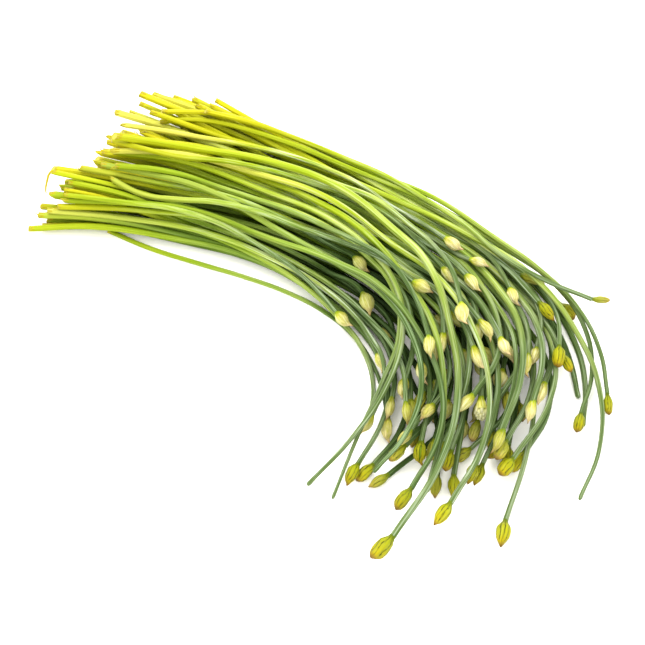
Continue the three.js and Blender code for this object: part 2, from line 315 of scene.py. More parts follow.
def lay_bunch():
    """The scapes of each of the model's nodes, in the order in which they are laid."""
    draw = draws(SEED)
    laid = NOTHING_LAID
    units = {}

    def lay_stray(number):
        points, radius, nod, bud = STRAYS[number - 1]
        kind = {"start": 0, "end": 1, "radius": radius, "nod": nod, "bud": bud}
        scapes = settle_unit([make_scape(np.array(points, float), kind)], laid, SETTLE_SPACING)
        units[f"stray_scape_{number:02d}"] = scapes
        return with_stretches(scapes, laid)

    laid = lay_stray(1)
    total = sum(count for _, count, _ in LAYERS)
    for size, count, name in LAYERS:
        for number in range(1, count + 1):
            scapes = draw_unit(draw, size, (len(units) - 1) / total, laid)
            units[f"{name}_{number:02d}"] = scapes
            laid = with_stretches(scapes, laid)
    for number in range(2, len(STRAYS) + 1):
        laid = lay_stray(number)
    return units


def corners(scape):
    """The corners of a scape's solid, whose rings are pentagons with a flat side down."""
    middles = np.column_stack([scape["plan"], scape["heights"]])
    direction = along(middles)
    left = unit(np.cross([0, 0, 1], direction))
    up = np.cross(direction, left)
    angles = np.arange(SIDES)[:, None, None] * 2 * pi / SIDES
    outward = np.sin(angles) * left + np.cos(angles) * up
    return (middles + scape["radii"][:, None] * outward).reshape(-1, 3)


# The place and the shade of each scape. The model's origin is under the middle of the heap's outline.
# Where the heap lies over a scape, little light reaches it, and painted shade darkens it: 0 at the top
# and down to UNCOVERED millimetres, and 1 from DEEP millimetres on, less towards the cut ends.
MM = 0.001
UNCOVERED = 8
DEEP = 26
CUT_IN_SHADE = 0.4
units = lay_bunch()
heap = NOTHING_LAID
for scapes in units.values():
    heap = with_stretches(scapes, heap)
outline = np.vstack([corners(scape) for scapes in units.values() for scape in scapes])
origin = np.append((outline.min(0)[:2] + outline.max(0)[:2]) / 2, 0)
apart = 0
for name, scapes in units.items():
    solid = np.vstack([corners(scape) for scape in scapes]) - origin
    low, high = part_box(name)
    apart = max(apart, abs(solid.min(0) * MM - low).max(), abs(solid.max(0) * MM - high).max())
    for scape in scapes:
        scape["route"] = (np.column_stack([scape["plan"], scape["heights"]]) - origin) * MM
        scape["widths"] = scape["radii"] * MM
        over = support(scape["plan"], scape["radii"], heap) - scape["heights"]
        shaded = np.interp(np.arange(len(over)), (0, TIE_RING), (CUT_IN_SHADE, 1))
        scape["cover"] = np.clip((over - UNCOVERED) / (DEEP - UNCOVERED), 0, 1) * shaded
print(f"the scapes lie within {apart / MM:.4f} mm of the model's solids")

# The stems. Each is one slender stalk, a little flat and ridged, with a waxy green skin that is yellow
# where the light didn't reach it. It is cut off on a slant below, and one that lost its bud ends blunt.
# At one cut a strip of the skin has come loose, dried and hangs down.
CHANCE_SEED = 11
STALK_LENGTH = 0.33
STALK_RADIUS = 0.0021
STALK_SIDES = 16
STALK_CUTS = 78
FURROWS = (1, 4, 6, 9, 12, 14)
FURROW_DEPTH = 0.86
FLATNESS = 0.92
END_FACING = 0.9
CREASE = radians(50)

# From this many cuts before its end on, the neck is wider by this factor.
NECK_FLARE = ((1.5, 1.02), (0.5, 1.03))

# The slants of the cuts in degrees, and the quarters of each rim that have a tatter of skin left on.
# A tatter is pushed out in steps, each by so much, to this size and this far outwards.
CUTS = ((8, ()), (24, ()), (44, ()), (58, ()), (30, (0,)))
RIND = 0.00035
RIND_FACING = 0.3
FLESH_SINK = 0.00025
FLESH_MARK = -1
TATTER_LINES = STALK_SIDES // 4
TATTER = ((-0.0015, 0.9, 0.0001), (-0.0018, 0.6, 0.0005), (-0.0012, 0.4, 0.0008))

# A blunt tip is pushed out in steps, each by so much and to this size, and the stalk narrows before it.
BLUNT_TIP = ((0.003, 1.1), (0.0025, 1.04), (0.001, 0.9), (0.0006, 0.72), (0.0003, 0.5))
BLUNT_SPAN = 1.06
BLUNT_TAPER = (1, 0.9, 0.72)

# How the plants differ. The stems whose cuts lie at the far edge are paler, with painted light that
# brightens them towards their cuts, and the other ones that stray from the heap are greener and darker.
SIZE_CHANCE = (0.98, 1.1)
TWIST_CHANCE = 1.5
LEAST_TONE = 0.68
TONE_CHANCE = 0.3
PALE_FROM = 0.09
PALE_WIDTH = 0.03
PALE_EDGE = 0.65
FAR_EDGE_PAINTED_LIGHT = 0.28
LONE_TONE = 0.79
LONE_SHIFT = 0.7

# The dry strip, with its width from step to step, and its route from the cut in millimetres.
STRIP_SCAPE = "scape_09"
STRIP_SIDES = 8
STRIP_RADIUS = 0.0009
STRIP_STEP = 0.002
STRIP_FLATNESS = 0.7
STRIP_WIDTHS = (1.0, 0.95, 0.95, 0.95, 0.9, 0.7)
STRIP_TWIST = (0, 0.5)
STRIP_ROUTE = (
    (3, 0.5, 0),
    (0.4, -0.6, -0.8),
    (-1.6, -3.6, -4.6),
    (-3.2, -6.4, -9.6),
    (-3.6, -7.2, -13.5),
)


def pick(piece, kind, wanted):
    """In edit mode, selects the verts, edges or faces of a piece that are wanted, and no others."""
    bpy.ops.mesh.select_mode(type={"verts": "VERT", "edges": "EDGE", "faces": "FACE"}[kind])
    bpy.ops.mesh.select_all(action="DESELECT")
    shape = bmesh.from_edit_mesh(piece.data)
    for item in getattr(shape, kind):
        if wanted(item):
            item.select_set(True)
    bmesh.update_edit_mesh(piece.data)


def push_out(step, size, aside=(0, 0)):
    """Extrudes what is selected along the stalk, and resizes the new end about its middle."""
    bpy.ops.mesh.extrude_region_move(TRANSFORM_OT_translate={"value": (step, *aside)})
    bpy.ops.transform.resize(value=(1, size, size))


def line_of(place, sides):
    """The number of the lengthwise line that a place is on, counted round a piece along X."""
    return round(np.arctan2(place.z, place.y) * sides / (2 * pi)) % sides


def keep_growth(piece, length, radius):
    """Keeps each point's place on the straight piece: its share of the length, and across in radii."""
    places = np.array([vertex.co for vertex in piece.data.vertices]) / (length, radius, radius)
    growth = piece.data.attributes.new("growth", "FLOAT_VECTOR", "POINT")
    growth.data.foreach_set("vector", places.astype(np.float32).ravel())
    return growth


def straight_stalk(slant, tatters, blunt=False):
    """A straight stalk along X, cut at this slant with tatters of skin left on, for a bud or blunt."""
    bpy.ops.object.select_all(action="DESELECT")
    bpy.ops.mesh.primitive_cylinder_add(
        vertices=STALK_SIDES, radius=STALK_RADIUS, depth=STALK_LENGTH,
        location=(STALK_LENGTH / 2, 0, 0), rotation=(0, pi / 2, 0),
    )
    stalk = bpy.context.object
    bpy.ops.object.transform_apply()
    bpy.ops.object.mode_set(mode="EDIT")
    pick(stalk, "edges", lambda edge: edge.calc_length() > STALK_LENGTH / 2)
    bpy.ops.mesh.subdivide(number_cuts=STALK_CUTS)
    pick(stalk, "verts", lambda vert: line_of(vert.co, STALK_SIDES) in FURROWS)
    bpy.ops.transform.resize(value=(1, FURROW_DEPTH, FURROW_DEPTH), center_override=(0, 0, 0))
    cut_length = STALK_LENGTH / (STALK_CUTS + 1)
    for cuts, size in () if blunt else NECK_FLARE:
        pick(stalk, "verts", lambda vert: vert.co.x > STALK_LENGTH - cuts * cut_length)
        bpy.ops.transform.resize(value=(1, size, size), center_override=(0, 0, 0))
    if blunt:
        pick(stalk, "faces", lambda face: face.normal.x > END_FACING)
        for step, size in BLUNT_TIP:
            push_out(step, size)
    pick(stalk, "faces", lambda face: face.normal.x < -END_FACING)
    bpy.ops.mesh.inset(thickness=RIND)
    bpy.ops.transform.translate(value=(FLESH_SINK, 0, 0))
    bpy.ops.mesh.inset(thickness=RIND)
    for quarter in tatters:
        lines = range(quarter * TATTER_LINES, (quarter + 1) * TATTER_LINES)
        outward = pi * (lines[0] + lines[-1]) / STALK_SIDES

        def on_rind(face):
            middle = face.calc_center_median()
            at_rim = face.normal.x < -RIND_FACING and middle.yz.length > STALK_RADIUS - RIND
            return at_rim and line_of(middle, STALK_SIDES) in lines

        pick(stalk, "faces", on_rind)
        for step, size, out in TATTER:
            push_out(step, size, (out * cos(outward), out * sin(outward)))
    pick(stalk, "verts", lambda vert: vert.co.x < 2 * FLESH_SINK)
    bpy.ops.transform.rotate(value=radians(slant), orient_axis="Y", center_override=(0, 0, 0))
    bpy.ops.mesh.select_all(action="SELECT")
    bpy.ops.transform.resize(value=(1, 1, FLATNESS), center_override=(0, 0, 0))
    bpy.ops.object.mode_set(mode="OBJECT")
    bpy.ops.object.shade_smooth_by_angle(angle=CREASE)
    growth = keep_growth(stalk, STALK_LENGTH * (BLUNT_SPAN if blunt else 1), STALK_RADIUS)
    for vertex, place in zip(stalk.data.vertices, growth.data):
        if vertex.co.length < STALK_RADIUS - RIND / 2:
            place.vector = (FLESH_MARK, 0, 0)
    return stalk


def laid_along(straight, route, sizes, twist, plant, cover):
    """A copy of a straight piece, stretched and bent along a route by a curve, and widened to sizes.

    plant is its age, its tone and its bloom, and where the heap lies over it, painted shade darkens its
    tone.
    """
    curve = bpy.data.curves.new("route", "CURVE")
    curve.dimensions = "3D"
    curve.twist_mode = "Z_UP"
    curve.use_stretch = curve.use_deform_bounds = curve.use_radius = True
    spline = curve.splines.new("BEZIER")
    spline.bezier_points.add(len(route) - 1)
    tilts = np.linspace(*twist, len(route))
    for point, place, size, tilt in zip(spline.bezier_points, route, sizes, tilts):
        point.co = place
        point.handle_left_type = point.handle_right_type = "AUTO"
        point.radius = size
        point.tilt = tilt
    path = bpy.data.objects.new("route", curve)
    piece = bpy.data.objects.new("piece", straight.data.copy())
    for thing in (path, piece):
        bpy.context.scene.collection.objects.link(thing)
    bend = piece.modifiers.new("bend", "CURVE")
    bend.object = path
    bend.deform_axis = "POS_X"
    bpy.context.view_layer.objects.active = piece
    bpy.ops.object.modifier_apply(modifier="bend")
    bpy.data.objects.remove(path)
    bpy.data.curves.remove(curve)
    shades = np.tile(plant, (len(piece.data.vertices), 1))
    lengths = distances(route)
    places = [place.vector[0] for place in piece.data.attributes["growth"].data]
    shades[:, 1] *= 1 - np.interp(places, lengths / lengths[-1], cover)
    marks = piece.data.attributes.new("plant", "FLOAT_VECTOR", "POINT")
    marks.data.foreach_set("vector", shades.astype(np.float32).ravel())
    return piece


def joined(pieces, name, node, material):
    """The pieces of one node as one object, in place of the node's plain solid."""
    bpy.ops.object.select_all(action="DESELECT")
    for piece in pieces:
        piece.select_set(True)
    bpy.context.view_layer.objects.active = pieces[0]
    if len(pieces) > 1:
        bpy.ops.object.join()
    whole = bpy.context.object
    whole.name = name
    places = np.array([vertex.co for vertex in whole.data.vertices])
    places[:, 2] = np.maximum(places[:, 2], 0)
    whole.data.vertices.foreach_set("co", places.ravel())
    whole.data.materials.clear()
    whole.data.materials.append(material)
    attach(whole, "root")
    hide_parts(node)
    return whole


def find(sockets, name):
    """A node's socket by its number, or by its name among those that are in use."""
    if isinstance(name, int):
        return sockets[name]
    return next(socket for socket in sockets if socket.name == name and socket.enabled)


class Link:
    """An output of a material's nodes. Arithmetic on it adds the Math nodes that do it."""

    def __init__(self, socket):
        self.socket = socket

    def node(self, kind, inputs, output=0, stops=(), **settings):
        """Adds a node of this kind: first its settings and stops, then its sockets' values or links."""
        added = self.socket.id_data.nodes.new(kind)
        for name, value in settings.items():
            setattr(added, name, value)
        for number, (place, colour) in enumerate(stops):
            spots = added.color_ramp.elements
            spot = spots[number] if number < len(spots) else spots.new(place)
            spot.position = place
            spot.color = colour
        for name, value in inputs.items():
            if isinstance(value, Link):
                self.socket.id_data.links.new(value.socket, find(added.inputs, name))
            else:
                find(added.inputs, name).default_value = value
        return Link(find(added.outputs, output))

    def math(self, operation, first, second=0.0):
        return self.node("ShaderNodeMath", {0: first, 1: second}, operation=operation)

    def vector_math(self, operation, other=(0, 0, 0)):
        return self.node("ShaderNodeVectorMath", {0: self, 1: other}, operation=operation)

    def __add__(self, other):
        return self.math("ADD", self, other)

    def __radd__(self, other):
        return self.math("ADD", other, self)

    def __sub__(self, other):
        return self.math("SUBTRACT", self, other)

    def __rsub__(self, other):
        return self.math("SUBTRACT", other, self)

    def __mul__(self, other):
        return self.math("MULTIPLY", self, other)

    def __rmul__(self, other):
        return self.math("MULTIPLY", other, self)

    def between(self, low, high):
        """0 up to low and 1 from high on, with a smooth rise between them."""
        return self.node(
            "ShaderNodeMapRange", {"Value": self, "From Min": low, "From Max": high},
            interpolation_type="SMOOTHSTEP",
        )

    def coloured(self, stops):
        """The colour at this value on a ramp with these stops."""
        return self.node("ShaderNodeValToRGB", {0: self}, stops=stops)

    def mixed(self, colour, share, blend_type="MIX"):
        """This colour, with a share of the other one in it."""
        return self.node(
            "ShaderNodeMix", {"Factor": share, "A": self, "B": colour}, output="Result",
            data_type="RGBA", blend_type=blend_type,
        )

    def shaded(self, colour, share):
        """This colour, with a share of what is left of it through a filter of the other one."""
        return self.mixed(self.mixed(colour, 1, "MULTIPLY"), share)

    def feeds(self, shader, name):
        self.socket.id_data.links.new(self.socket, shader.inputs[name])


WAXY_SHINE = 0.15
SCREEN_WHITE = 255
SCREEN_GAMMA = 2.2
IN_BRIGHT_LIGHT = 0.56


def tint(red, green, blue):
    """What looks like this on a screen under the bright lights, in the shader's own linear values."""
    linear = [(value / SCREEN_WHITE) ** SCREEN_GAMMA for value in (red, green, blue)]
    return (*(value * IN_BRIGHT_LIGHT for value in linear), 1)


def new_skin(name, roughness):
    """A material with one shader, and links to each point's growth and to its plant's own shades,
    painted shade included.
    """
    material = bpy.data.materials.new(name)
    material.use_nodes = True
    nodes = material.node_tree.nodes
    shader = nodes["Principled BSDF"]
    shader.inputs["Roughness"].default_value = roughness
    shader.inputs["Specular IOR Level"].default_value = WAXY_SHINE
    marks = []
    for attribute in ("growth", "plant"):
        node = nodes.new("ShaderNodeAttribute")
        node.attribute_name = attribute
        marks.append(Link(node.outputs["Vector"]))
    return material, shader, marks


def parts_of(vector):
    return [vector.node("ShaderNodeSeparateXYZ", {0: vector}, output=axis) for axis in "XYZ"]


PLANTS_APART = (31, 0, 47)


def streaks(growth, plant, scale, detail):
    """Noise drawn out along the stalk, another on each plant."""
    own = plant.vector_math("MULTIPLY", PLANTS_APART)
    place = {"Vector": growth.vector_math("MULTIPLY", scale).vector_math("ADD", own), "Scale": 1}
    return growth.node("ShaderNodeTexNoise", {**place, "Detail": detail}, output="Fac")


# The skin's colours from the youngest part of a stem to the oldest. A plant's own age moves it along
# them, most at its cut.
SKIN_AGES = (
    (0.0, tint(210, 199, 0)),
    (0.2, tint(196, 193, 0)),
    (0.32, tint(189, 197, 8)),
    (0.52, tint(180, 197, 32)),
    (0.74, tint(194, 207, 96)),
    (1.0, tint(113, 131, 80)),
)
AGE_AT_CUT = 0.2
AGE_CHANCE = 0.5
AGE_EVENED = 0.75

# Dark streaks between the ridges: their filter, the scale and detail of the noise, the values between
# which it comes to show, and how dark it gets.
STREAK_SHADE = (0.34, 0.54, 0.25, 1)
BROAD_STREAKS = ((9, 0.8, 0.8), 2)
BROAD_EDGE = (0.5, 0.8)
BROAD_DEPTH = 0.55
FINE_STREAKS = ((12, 2.6, 2.6), 4)
FINE_EDGE = (0.5, 0.62)
FINE_DEPTH = 0.6
RIDGED_FROM = (0.1, 0.6)
LEAST_RIDGED = 0.35

# A white bloom of wax on the upper part, its white partly a painted sheen, and paler yellow lines and
# whole stems at the cuts.
WAX_AND_SHEEN = tint(208, 222, 200)
WAX_AND_SHEEN_FROM = (0.1, 0.48)
LEAST_WAX_AND_SHEEN = 0.42
WAX_AND_SHEEN_EDGE = (0.36, 0.52)
WAX_AND_SHEEN_DEPTH = 0.75
PALE_LINE = tint(230, 228, 70)
PALE_LINE_EDGE = (0.34, 0.48)
PALE_LINE_END = (0.3, 0.7)
PALE_LINE_DEPTH = 0.28
PALE_STEM = tint(236, 230, 128)
PALE_STEM_BLOOM = (0.75, 0.95)
PALE_STEM_END = (0.15, 0.45)
PALE_STEM_DEPTH = 0.45

# Deep in the heap the colour is filtered greener and darkened, a painted shade for the light that comes
# through other stems. The cut itself is dry, and moist inside.
DEEP_SHADE = (0.6, 0.98, 0.3, 1)
DARKEST = 0.26
DRY_CUT = tint(204, 184, 20)
DRY_END = (-0.004, 0.006)
FLESH = tint(214, 204, 84)
STEM_ROUGHNESS = 0.56
STEM_RELIEF = {"Strength": 0.9, "Distance": 0.0005}


def stem_skin():
    material, shader, (growth, plant) = new_skin("scape_skin", STEM_ROUGHNESS)
    share, _, _ = parts_of(growth)
    shift, tone_and_shade, bloom = parts_of(plant)
    own_age = (shift - 0.5) * (1 - share * AGE_EVENED) * AGE_CHANCE
    skin = (AGE_AT_CUT + share + own_age).coloured(SKIN_AGES)
    broad = streaks(growth, plant, *BROAD_STREAKS)
    fine = streaks(growth, plant, *FINE_STREAKS)
    dark = skin.mixed(STREAK_SHADE, 1, "MULTIPLY")
    ridged = LEAST_RIDGED + share.between(*RIDGED_FROM) * (1 - LEAST_RIDGED)
    skin = skin.mixed(dark, broad.between(*BROAD_EDGE) * ridged * BROAD_DEPTH)
    skin = skin.mixed(dark, fine.between(*FINE_EDGE) * ridged * FINE_DEPTH)
    # Wax bloom and painted sheen: whitish streaks from low on the stem towards the bud.
    wax_and_sheen = share.between(*WAX_AND_SHEEN_FROM) * (LEAST_WAX_AND_SHEEN + bloom * bloom * (1 - LEAST_WAX_AND_SHEEN))
    skin = skin.mixed(WAX_AND_SHEEN, wax_and_sheen * (1 - fine.between(*WAX_AND_SHEEN_EDGE)) * WAX_AND_SHEEN_DEPTH)
    lines = (1 - fine.between(*PALE_LINE_EDGE)) * (1 - share.between(*PALE_LINE_END))
    skin = skin.mixed(PALE_LINE, lines * PALE_LINE_DEPTH)
    pale = bloom.between(*PALE_STEM_BLOOM) * (1 - share.between(*PALE_STEM_END))
    skin = skin.mixed(PALE_STEM, pale * PALE_STEM_DEPTH)
    # Painted shade: the deeper a stem lies in the heap, the darker and greener it is.
    skin = skin.shaded(DEEP_SHADE, 1 - tone_and_shade)
    skin = skin.node("ShaderNodeHueSaturation", {"Color": skin, "Value": DARKEST + tone_and_shade})
    skin = skin.mixed(DRY_CUT, 1 - share.between(*DRY_END))
    skin = skin.mixed(FLESH, share.math("LESS_THAN", share, FLESH_MARK / 2))
    skin.feeds(shader, "Base Color")
    bump = fine.node("ShaderNodeBump", {"Height": fine, **STEM_RELIEF}, output="Normal")
    bump.feeds(shader, "Normal")
    return material


def dry_strip():
    """A thin strip of dried skin along X, that narrows to its end."""
    bpy.ops.object.select_all(action="DESELECT")
    bpy.ops.mesh.primitive_cylinder_add(
        vertices=STRIP_SIDES, radius=STRIP_RADIUS, depth=STRIP_STEP,
        location=(STRIP_STEP / 2, 0, 0), rotation=(0, pi / 2, 0),
    )
    strip = bpy.context.object
    bpy.ops.object.transform_apply()
    bpy.ops.object.mode_set(mode="EDIT")
    pick(strip, "faces", lambda face: face.normal.x > END_FACING)
    for size in STRIP_WIDTHS:
        push_out(STRIP_STEP, size)
    bpy.ops.mesh.select_all(action="SELECT")
    bpy.ops.transform.resize(value=(1, 1, STRIP_FLATNESS), center_override=(0, 0, 0))
    bpy.ops.object.mode_set(mode="OBJECT")
    bpy.ops.object.shade_smooth_by_angle(angle=CREASE)
    growth = keep_growth(strip, STALK_LENGTH, STALK_RADIUS)
    for place in growth.data:
        place.vector[0] *= -1
    return strip


scape_skin = stem_skin()
chance = np.random.default_rng(CHANCE_SEED)
necked_stalks = [straight_stalk(slant, tatters) for slant, tatters in CUTS]
blunt_stalk = straight_stalk(*CUTS[0], blunt=True)
strip = dry_strip()
for name, scapes in units.items():
    stalks = []
    for scape in scapes:
        straight = necked_stalks[chance.integers(len(CUTS))] if scape["bud"] else blunt_stalk
        sizes = scape["widths"][:STEM_RINGS] / STALK_RADIUS * chance.uniform(*SIZE_CHANCE, STEM_RINGS)
        start = chance.uniform(0, 2 * pi)
        twist = (start, start + chance.uniform(-TWIST_CHANCE, TWIST_CHANCE))
        shift, tone_and_shade, bloom = chance.uniform(size=3)
        far = np.clip((scape["route"][0][1] - PALE_FROM) / PALE_WIDTH, 0, 1)
        shift *= 1 - PALE_EDGE * far
        tone_and_shade = LEAST_TONE + TONE_CHANCE * tone_and_shade
        if name.startswith("stray") and not far:
            shift, tone_and_shade = max(shift, LONE_SHIFT), tone_and_shade * LONE_TONE
        if not scape["bud"]:
            sizes[-len(BLUNT_TAPER):] *= BLUNT_TAPER
        scape["plant"] = shift, tone_and_shade, bloom
        route = scape["route"][:STEM_RINGS]
        # The painted shade from the heap over the stem, lessened by painted light near the cuts at the
        # far edge.
        cover = scape["cover"][:STEM_RINGS] - FAR_EDGE_PAINTED_LIGHT * far * np.linspace(1, 0, STEM_RINGS)
        stalks.append(laid_along(straight, route, sizes, twist, scape["plant"], cover))
    if name == STRIP_SCAPE:
        hanging = scapes[0]["route"][0] + np.array(STRIP_ROUTE) * MM
        bare = np.zeros(len(hanging))
        stalks.append(laid_along(strip, hanging, bare + 1, STRIP_TWIST, scapes[0]["plant"], bare))
    joined(stalks, name + "_stems", name, scape_skin)
for straight in (*necked_stalks, blunt_stalk, strip):
    bpy.data.objects.remove(straight)

# The buds. Each is a drop of packed florets in one papery sheath that grows out of the end of its stem
# and closes in a thin dry beak. The ripe ones are cream and veined, and the young ones at the bunch's
# outer edge olive and ribbed. One has torn open round its head, and one has split.
BUD_BODY = 0.014
BUD_WIDTH = 0.004
BUD_SIDES = 18
BUD_NECK = 0.44
BUD_NECK_FLARE = 1.08
NECK_OVERLAP = 0.0012
FOLDS_START = 0.06
BEAK_START = 0.78
WRINKLE_SIZE = 0.003
WRINKLE_DEPTH = 0.0008

# Outlines: shares of the body's length, and of its width.
RIPE_OUTLINE = (
    (0.05, 0.45), (0.11, 0.52), (0.18, 0.7), (0.27, 0.9), (0.37, 1.0), (0.48, 1.0), (0.58, 0.92),
    (0.67, 0.75), (0.75, 0.53), (0.82, 0.32), (0.88, 0.18), (0.94, 0.1), (0.98, 0.06),
)
YOUNG_OUTLINE = (
    (0.07, 0.43), (0.14, 0.46), (0.2, 0.62), (0.28, 0.86), (0.38, 1.0), (0.49, 1.06), (0.6, 1.04),
    (0.7, 0.95), (0.78, 0.79), (0.85, 0.57), (0.89, 0.37), (0.92, 0.2), (0.94, 0.1),
)
POINTED_OUTLINE = (
    (0.07, 0.43), (0.14, 0.48), (0.21, 0.68), (0.29, 0.9), (0.38, 1.03), (0.48, 1.04), (0.58, 0.96),
    (0.67, 0.82), (0.75, 0.64), (0.82, 0.44), (0.88, 0.26), (0.92, 0.14), (0.95, 0.07),
)

# Each kind has its outline, the lengthwise lines that are drawn in and how far, a power that moves its
# belly along, and how its beak bends. The ripe ones come first.
BUD_KINDS = (
    (RIPE_OUTLINE, (1, 4, 8, 11, 15), 0.94, 1.0, 0.0),
    (RIPE_OUTLINE, (0, 3, 7, 12, 16), 0.9, 0.88, 0.9),
    (RIPE_OUTLINE, (2, 6, 9, 14), 0.93, 1.12, -0.7),
    (RIPE_OUTLINE, (1, 5, 8, 12, 15), 0.88, 1.0, 1.3),
    (YOUNG_OUTLINE, range(0, BUD_SIDES, 2), 0.82, 1.0, -0.3),
    (POINTED_OUTLINE, range(0, BUD_SIDES, 2), 0.85, 1.0, 0.3),
)
RIPE_KINDS = 4

# How the buds differ. They are younger towards the near side and the right of the heap.
BELLY_CHANCE = (0.86, 1.08)
DENT_CHANCE = (0.95, 1.0)
# A bud takes this share of its stem's painted shade.
BUD_PAINTED_SHADE = 0.45
YOUNG_BELOW = -0.05
YOUNG_BELOW_SPAN = 0.07
YOUNG_BESIDE = 0.12
YOUNG_BESIDE_SPAN = 0.03
YOUNG_OUTSIDE = 0.85
YOUNG_CHANCE = 0.3
RIBBED_FROM = 0.5

# The opened bud and the split one, each by its node and its place in it.
ODD_BUDS = [("two_scapes_11", 1), ("two_scapes_03", 0)]
TORN_RIM = 0.44
TORN_TEETH = 0.035
TEETH = 3
RIM_FLARE = 1.1
SHEATH = 0.0002
SLIT_REACH = (0.25, 0.9)
SLIT_ANGLE = 0.2
SLIT_LIP = 0.0001
SLIT_DEPTH = 0.0009
FLORET_MARK = 2
FLORETS = 23
FLORET_SIDES = 10
FLORET_RINGS = 8
FLORET_WIDTH = 0.0014
FLORET_LENGTH = 0.0036
FLORET_TIP_START = 0.75
FLORET_TIP = 0.7
FLORET_RIB = 0.88
FLORET_SPREAD = radians(74)
HEAD_MIDDLE = 0.0052
HEAD_CORE = 0.0015
GOLDEN_ANGLE = radians(137.5)


def straight_bud(outline, lines, furrow, early, bend):
    """A straight bud along X from its neck to its beak, drawn in along some of its lines."""
    bpy.ops.object.select_all(action="DESELECT")
    bpy.ops.mesh.primitive_circle_add(
        vertices=BUD_SIDES, radius=BUD_WIDTH * BUD_NECK, fill_type="NGON", rotation=(0, pi / 2, 0)
    )
    bud = bpy.context.object
    bpy.ops.object.transform_apply()
    bpy.ops.object.mode_set(mode="EDIT")
    bpy.ops.mesh.select_all(action="SELECT")
    place, width = 0, BUD_NECK
    for next_place, next_width in outline:
        next_place = next_place ** early
        step = (next_place - place) * BUD_BODY
        aside = bend * step * (next_place > BEAK_START)
        push_out(step, next_width / width, (aside, 0))
        place, width = next_place, next_width

    def on_fold(vert):
        return FOLDS_START < vert.co.x / BUD_BODY < BEAK_START and line_of(vert.co, BUD_SIDES) in lines

    pick(bud, "verts", on_fold)
    bpy.ops.transform.resize(value=(1, furrow, furrow), center_override=(0, 0, 0))
    bpy.ops.mesh.select_all(action="SELECT")
    bpy.ops.mesh.normals_make_consistent(inside=False)
    bpy.ops.object.mode_set(mode="OBJECT")
    smooth = bud.modifiers.new("smooth", "SUBSURF")
    smooth.levels = smooth.render_levels = 1
    bpy.ops.object.modifier_apply(modifier="smooth")
    folds = bpy.data.textures.new("folds", "CLOUDS")
    folds.noise_scale = WRINKLE_SIZE
    wrinkled = bud.modifiers.new("wrinkles", "DISPLACE")
    wrinkled.texture = folds
    wrinkled.strength = WRINKLE_DEPTH
    bpy.ops.object.modifier_apply(modifier="wrinkles")
    bpy.ops.object.shade_smooth()
    keep_growth(bud, BUD_BODY, BUD_WIDTH)
    return bud


# The sheath's colours from neck to beak, ripe and young, and a floret's from foot to tip.
RIPE_SHEATH = (
    (0.0, tint(126, 148, 60)),
    (0.07, tint(156, 180, 16)),
    (0.16, tint(196, 204, 30)),
    (0.28, tint(230, 222, 110)),
    (0.48, tint(247, 236, 170)),
    (0.74, tint(246, 228, 168)),
    (0.87, tint(236, 206, 158)),
    (0.98, tint(180, 136, 92)),
)
YOUNG_SHEATH = (
    (0.0, tint(104, 132, 30)),
    (0.14, tint(120, 142, 8)),
    (0.26, tint(182, 190, 0)),
    (0.55, tint(204, 198, 0)),
    (0.78, tint(210, 188, 6)),
    (0.87, tint(176, 140, 42)),
    (0.95, tint(124, 86, 32)),
)
FLORET_SKIN = (
    (0.0, tint(140, 168, 20)),
    (0.35, tint(200, 208, 70)),
    (0.65, tint(246, 240, 172)),
    (1.0, tint(252, 248, 214)),
)
YOUNG_SHOWS = (0.15, 0.75)
FLORETS_FROM = (1.4, 1.6)

# What is drawn on the sheath between these shares of it: green patches, dark veins, white folds whose
# white is partly a painted highlight, and on a young one dark grooves, of which there is one to every
# second side.
BODY_FROM = (0.03, 0.2)
BODY_END = (0.7, 0.9)
SHEATH_WAVES = ((3, 1.5, 1.5), 2)
PATCH = tint(200, 204, 66)
PATCH_EDGE = (0.0, 0.16)
PATCH_DEPTH = 0.5
SHEATH_FOLDS = ((3, 3.4, 3.4), 3)
FOLDS_DRAWN_OUT = 0.5
VEIN = tint(186, 184, 44)
VEIN_EDGE = (0.0, 0.07)
VEIN_DEPTH = 0.6
FOLD_WHITE_AND_HIGHLIGHT = tint(255, 252, 226)
WHITE_EDGE = (0.52, 0.66)
WHITE_DEPTH = 0.6
SHEATH_FIBRES = ((2.5, 5, 5), 3)
GROOVE = tint(86, 92, 0)
GROOVE_EDGE = (0.4, 1.0)
GROOVE_WAVE = 0.9
GROOVE_BREAKS = (0.4, 0.6)
LEAST_GROOVE = 0.35
# Painted shade on buds deep in the heap: its filter, the darkest value, and how much lighter a bud on
# top is. A young bud is darker.
SHEATH_DEEP = (0.8, 0.95, 0.3, 1)
SHEATH_DARKEST = 0.5
SHEATH_LIGHT = 0.74
YOUNG_DARKER = 0.16
SHEATH_ROUGHNESS = 0.5
FIBRE_RISE = 0.3
FOLD_RISE = 0.5
VEIN_SINK = 0.4
GROOVE_SINK = 0.5
SHEATH_RELIEF = {"Strength": 0.8, "Distance": 0.0006}


